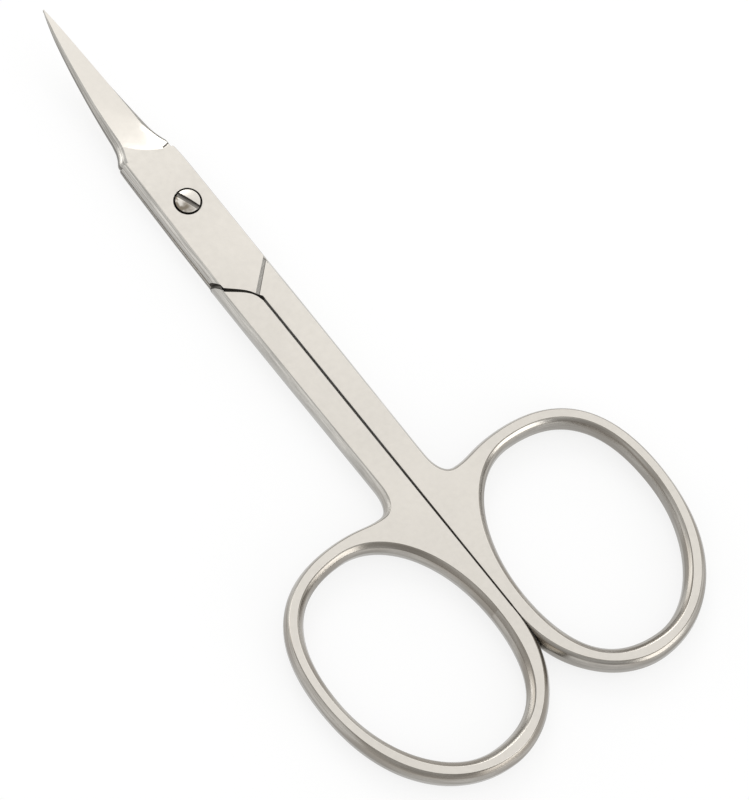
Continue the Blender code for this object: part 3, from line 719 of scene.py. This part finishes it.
def blade(shell, pivot_x, bends, edge_side):
    """Blade as one tube: each column of points goes once round its section.

    bends is 1 for a blade that bends towards its half's outer face, and -1 for away from it.
    """
    spots = np.array(ARC)
    steep = (spots[1] - spots[0])[1] / (spots[1] - spots[0])[0]
    curve = (((spots[2] - spots[1])[1] / (spots[2] - spots[1])[0] - steep)
             / (spots[2, 0] - spots[0, 0]))
    right_end = np.array(edge_side[-1])[::-1] - (pivot_x, 0)
    left_end = np.array(BACK_SIDE[-1])[::-1] - (pivot_x, 0)
    slant = (left_end[1] - right_end[1]) / (left_end[0] - right_end[0])

    def plate_end(x):
        return right_end[1] + slant * (x - right_end[0])

    def arc(x):
        """Where the ground face starts: the parabola through the three spots."""
        line = (spots[0, 1] + steep * (x - spots[0, 0])
                + curve * (x - spots[0, 0]) * (x - spots[1, 0]))
        return np.maximum(line, plate_end(x) + 0.05) + 0.45 * (x - 1.6).clip(0)

    def bend(x, y):
        """Rise of a surface turned about the screw's axis."""
        return bends * (np.hypot(x, y) - BEND_FROM).clip(0) ** 2 / (2 * BEND_RADIUS)

    def across(share, y):
        """x at a share of the way from the back's inset edge to the bevel, at y."""
        inset, back, edge = blade_width(y, bends)
        return -inset + share * (inset + edge - BEVEL_WIDTH * back / BLADE_BACK)

    def thin(x, y):
        """Outer face's height without the plate's extra thickness."""
        left = blade_left(y)
        inset, _, edge = blade_width(y, bends)
        at_back = TIP_THICK + ROOT_THICK * left ** 0.6
        at_edge = EDGE_THICK * (0.5 + left / 2)
        return bend(x, y) + INNER_Z + at_back + (at_edge - at_back) * (x + inset) / (inset + edge)

    def settled(line, share, y):
        """The y where a line across the blade meets the column at this share of its width."""
        y = np.full_like(share, y)
        for _ in range(40):
            y = 0.5 * y + 0.5 * line(across(share, y))
        return y

    # Outer face: a lip inside the plate, the plate's end, the arc, and on to the tip.
    share = np.r_[0, 0.015, np.linspace(0.04, 0.96, 24), 0.985, 1]
    face = len(share)
    start = settled(arc, share, 7.0)
    x_start = across(share, start)
    first = settled(plate_end, share, 6.5)
    along = np.r_[np.linspace(0, 0.25, 60) ** 1.2, np.linspace(0.25 ** 1.2, 1, 90)[1:]]
    rows = [first - 1.3, first - 0.9, first]
    rows += [first + (start - first) * q for q in np.linspace(0, 1, 14)[1:]]
    y = np.concatenate([np.array(rows), start + (BLADE_TIP_Y - start) * along[1:, None]])
    x = across(share[None], y)
    extra = PLATE_Z - thin(x_start, start)
    fall = (1 - (y - start) / FACE_FALL).clip(0, 1) ** 1.8
    z = np.where(y <= start + 1e-9, PLATE_Z, thin(x, y) + extra * fall)
    z = (z if bends > 0 else np.minimum(z, PLATE_Z)) + 0.001
    z[0] -= 0.3
    z[1] -= 0.02

    # Bevel, hollow inside and rounded back.
    y_left, y_right = y[:, :1], y[:, -1:]
    inset, back, _ = blade_width(y_left, bends)
    edge = blade_width(y_right, bends)[2]
    inner_left = bend(-back, y_left) + INNER_Z
    inner_right = bend(edge, y_right) + INNER_Z
    out = 1 - (1 - (BACK_DOWN / 0.75).clip(0, 1)) ** 2
    back_x = -inset - (back - inset) * out
    back_z = z[:, :1] + (inner_left - z[:, :1]) * BACK_DOWN
    slope_z = z[:, -1:]
    edge_x = x[:, -1:] + (edge - x[:, -1:]) * EDGE_DOWN
    edge_z = slope_z + (np.maximum(inner_right + LAND, slope_z - 0.7) - slope_z) * EDGE_DOWN
    low = np.linspace(0, 1, 13)
    low_x = edge + (-back - edge) * low
    low_y = y_right + (y_left - y_right) * low
    hollow = HOLLOW * (back / BLADE_BACK) * ease(low_y, 6.3, 8.4) * (1 - (2 * low - 1) ** 2)
    low_z = bend(low_x, low_y) + INNER_Z + hollow
    around_x = np.concatenate([x, edge_x, low_x, back_x[:, ::-1], x[:, :1]], 1)
    around_y = np.concatenate([y, y_right + 0 * edge_x, low_y, y_left + 0 * back_x, y[:, :1]], 1)
    around_z = np.concatenate([z, edge_z, low_z, back_z[:, ::-1], z[:, :1]], 1)
    points = np.dstack([around_x + pivot_x, around_y, around_z]).transpose(1, 0, 2)

    finish = np.ones((points.shape[0] - 1, points.shape[1]))
    finish[:face + 2] = 0
    finish[face + 3:face + 15] = INSIDE_FINISH
    # Painted shade at the heel and along the back's lowest rows; the bevel near the root is painted
    # darker.
    if bends > 0:
        finish[face - 1:face + 2, 16:76] = BEVEL_DARKENED
        finish[22:face + 1, 16:21] = HEEL_PAINTED_SHADE
    finish[face + 17:face + 20] = BACK_PAINTED_SHADE
    level = np.r_[0 * share, 0.1, 0.2, 0.3, 0.4, 0 * low + 0.5,
                  0.5 * (BACK_DOWN[::-1] / 0.7).clip(0, 1), 0]
    number = shell.grid(points, False, finish, y.mean(1), level)
    shell.cap(number[:-1, 0])
    shell.cap(number[:-1, -1])


# Front half
# The half whose plate and blade lie on top: the right shank and ring, with the screw's recess.
FRONT_PLACE = Matrix.Translation((PARTING_X * MM, 0, HALF_THICK * MM))


def make_half(name, body, place, edge_side, edge_swell, pivot_x, seat, bends, material, seed):
    """One half as one object that rides its body. pivot_x is the screw's place in the half."""
    shell = Shell()
    shank_and_ring(shell, seed)
    plate(shell, edge_side, edge_swell, pivot_x, seat, seed + 7)
    blade(shell, pivot_x, bends, edge_side)
    piece = linked(name, shell.mesh(name, place))
    piece.data.materials.append(material)
    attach(piece, body)
    return piece


# The polished sides' colour is set darker than the satin's: painted reflection of the darker
# surroundings they face.
satin_steel = steel("satin_steel", (0.765, 0.727, 0.67), (0.62, 0.60, 0.56), 1.0, 0.0)
front = make_half("front_half_steel", "front", FRONT_PLACE, FRONT_EDGE_SIDE, 0.5, -PARTING_X,
                  True, 1, satin_steel, 11)
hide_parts("front_half")

# Back half
# The same forging turned over, under the front one: the left shank and ring. Its blade bends
# upwards too, so it isn't quite the front half's twin.
back = make_half("back_half_steel", "back", FRONT_PLACE @ Matrix.Rotation(math.pi, 4, "Y"),
                 BACK_EDGE_SIDE, 0.34, PARTING_X, False, -1, satin_steel, 31)
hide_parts("back_half")

# Pivot screw
# A steel screw with a low domed, slotted head, turned on a lathe, sunk in the front plate's recess.
HEAD_RADIUS = 1.28
SHANK_RADIUS = 0.9
HEAD_TOP, HEAD_RIM, HEAD_UNDER = 2.97, 2.85, 2.13
DOME_RADIUS = 1.22
# The head's side, down in the front plate's recess, is painted shade.
HEAD_FINISH, HEAD_SIDE_PAINTED_SHADE = 0.15, 1.8
SLOT_WIDTH, SLOT_DEPTH = 0.50, 0.33
SLOT_ANGLE = math.radians(-69.0)
# The slot's walls and floor are painted shade.
SLOT_PAINTED_SHADE, SLOT_FLOOR_PAINTED_SHADE = 1.7, 1.6


def lathe(profile, steps):
    """Closed surface turned about the Z axis from a profile of (radius, height) down its side."""
    turn = np.linspace(0, 2 * math.pi, steps, endpoint=False)
    radius, height = np.array(profile)[:, :, None].transpose(1, 0, 2)
    return np.dstack([radius * np.cos(turn), radius * np.sin(turn), height + 0 * turn]), turn


dome = np.linspace(0, 1, 14)[1:]
profile = ([(0.001, HEAD_TOP)]
           + [(DOME_RADIUS * d, HEAD_TOP - (HEAD_TOP - HEAD_RIM - 0.02) * d ** 2.2) for d in dome]
           + [(1.255, HEAD_RIM), (1.273, HEAD_RIM - 0.03), (HEAD_RADIUS, HEAD_RIM - 0.08),
              (HEAD_RADIUS, HEAD_UNDER), (SHANK_RADIUS, HEAD_UNDER), (SHANK_RADIUS, 0.05),
              (SHANK_RADIUS - 0.05, 0.0), (0.001, 0.0)])
shell = Shell()
points, turn = lathe(profile, 120)
on_top = np.arange(len(points) - 1) < len(dome) + 1
finish = np.where(on_top, HEAD_FINISH, HEAD_SIDE_PAINTED_SHADE)[:, None]
number = shell.grid(points, True, finish, turn * 1.3)
shell.cap(number[0])
shell.cap(number[-1])
screw = linked("pivot_screw_steel", shell.mesh("pivot_screw_steel", Matrix.Identity(4)))

# The slot's edges are worn round, so the tool that cuts it widens at the top.
shell = Shell()
width = SLOT_WIDTH / 2 * np.array([1.12, 1.0, 1.0, 0.86])
level = HEAD_TOP - np.array([-0.3, 0.10, SLOT_DEPTH - 0.05, SLOT_DEPTH])
corner_x, corner_y = np.array([1, 1, -1, -1]), np.array([-1, 1, 1, -1])
slot = np.dstack([2.0 * corner_x + 0 * width[:, None], width[:, None] * corner_y,
                  level[:, None] + 0 * corner_x])
number = shell.grid(slot, True, SLOT_PAINTED_SHADE, np.arange(4.0))
shell.cap(number[0])
shell.cap(number[-1], finish=SLOT_FLOOR_PAINTED_SHADE)
slot_tool = linked("slot_cut", shell.mesh("slot_cut", Matrix.Rotation(SLOT_ANGLE, 4, "Z")))
cut = screw.modifiers.new("slot", "BOOLEAN")
cut.operation, cut.solver, cut.object = "DIFFERENCE", "EXACT", slot_tool
bpy.context.view_layer.update()
finished = screw.evaluated_get(bpy.context.evaluated_depsgraph_get())
finished = bpy.data.meshes.new_from_object(finished)
screw.modifiers.clear()
screw.data = finished
bpy.data.objects.remove(slot_tool)
screw.data.materials.clear()
screw.data.materials.append(steel("screw_steel", (0.75, 0.715, 0.66), (0.74, 0.70, 0.64), 0.6, 0.9))
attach(screw, "back")
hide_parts("pivot_screw")

# Floor
# A plain white sheet, bright enough to be the white background, which takes the soft shadows.
FLOOR_WHITE = 0.78
FLOOR_SIDE, FLOOR_DROP = 3000, 0.01
shell = Shell()
side = np.linspace(-FLOOR_SIDE / 2, FLOOR_SIDE / 2, 5)
floor_x, floor_y = np.meshgrid(side, side)
shell.grid(np.dstack([floor_x, floor_y, 0 * floor_x - FLOOR_DROP]), False, 0, side)
floor = linked("floor", shell.mesh("floor", Matrix.Identity(4)))
paper = bpy.data.materials.new("white_sheet")
paper.use_nodes = True
paper_shader = paper.node_tree.nodes["Principled BSDF"]
paper_shader.inputs["Base Color"].default_value = (0.97, 0.97, 0.97, 1)
paper_shader.inputs["Roughness"].default_value = 1.0
paper_shader.inputs["Specular IOR Level"].default_value = 0.0
ray = Value(paper.node_tree, None)
camera_ray, glossy_ray, through_ray = (ray.node("ShaderNodeLightPath", out=i) for i in (0, 3, 6))
seen = camera_ray.at_least(glossy_ray).at_least(through_ray)
white = ray.node("ShaderNodeEmission", Color=(1, 1, 1, 1), Strength=1.0)
mixed = ray.node("ShaderNodeMixShader", i0=seen * FLOOR_WHITE, i2=white)
paper.node_tree.links.new(paper_shader.outputs[0], mixed.socket.node.inputs[1])
output = paper.node_tree.nodes["Material Output"]
paper.node_tree.links.new(mixed.socket, output.inputs["Surface"])
floor.data.materials.append(paper)

# Studio light
# A white room, brighter on three sides and darker on one, and one soft lamp from beyond the tips.
world = bpy.data.worlds.new("studio")
bpy.context.scene.world = world
world.use_nodes = True
sky = Value(world.node_tree, None)
up = sky.node("ShaderNodeTexCoord", out=0)
east, north, height = (sky.node("ShaderNodeSeparateXYZ", out=i, Vector=up) for i in range(3))

# Each of these is a patch of the sky round one direction, with a soft edge.
window = (east * 0.32 - north * 0.93 + height * 0.18).smooth(0.86, 0.98)
daylight = (east * 0.95 + north * 0.15 + height * 0.25).smooth(0.6, 0.95)
dusk = (height * 0.36 - east * 0.62 - north * 0.70).smooth(0.74, 0.97)
evening = (north * 0.85 - east * 0.48 + height * 0.10).smooth(0.86, 0.99)

glow = (height.smooth(0.3, 0.9) * 0.10 + 0.77 + window * 2.4 + daylight * 0.4 + evening * 1.6
        - dusk * 0.2).at_least(0.1)
background = world.node_tree.nodes["Background"]
background.inputs["Color"].default_value = (1, 1, 0.995, 1)
world.node_tree.links.new(glow.socket, background.inputs["Strength"])

LAMP_PLACE, LAMP_TARGET = (0.21, 0.48, 0.45), (0, -0.02, 0)
LAMP_WIDTH, LAMP_WATTS = 0.34, 0.9
light = bpy.data.lights.new("key", "AREA")
light.shape, light.size, light.energy = "DISK", LAMP_WIDTH, LAMP_WATTS
lamp = linked("key", light)
lamp.location = LAMP_PLACE
way = np.array(LAMP_PLACE) - LAMP_TARGET
lamp.rotation_euler = (math.atan2(math.hypot(way[0], way[1]), way[2]), 0,
                       math.atan2(way[0], -way[1]))

# Camera
# Above the handles and a little to their left, as in the photograph.
CAMERA_RIGHT = (0.7816, -0.6135, 0.1131)
CAMERA_UP = (0.5398, 0.7560, 0.3704)
CAMERA_BACK = (-0.3128, -0.2284, 0.9219)
CAMERA_PLACE = (-0.1841, -0.1638, 0.5516)
LENS = 270.0
camera_data = bpy.data.cameras.new("camera")
camera_data.lens, camera_data.sensor_width = LENS, 36.0
camera_data.clip_start, camera_data.clip_end = 0.01, 20.0
camera = linked("camera", camera_data)
turn = Matrix((CAMERA_RIGHT, CAMERA_UP, CAMERA_BACK)).transposed().to_4x4()
camera.matrix_world = Matrix.Translation(CAMERA_PLACE) @ turn
bpy.context.scene.camera = camera
bpy.context.scene.view_settings.view_transform = "Standard"
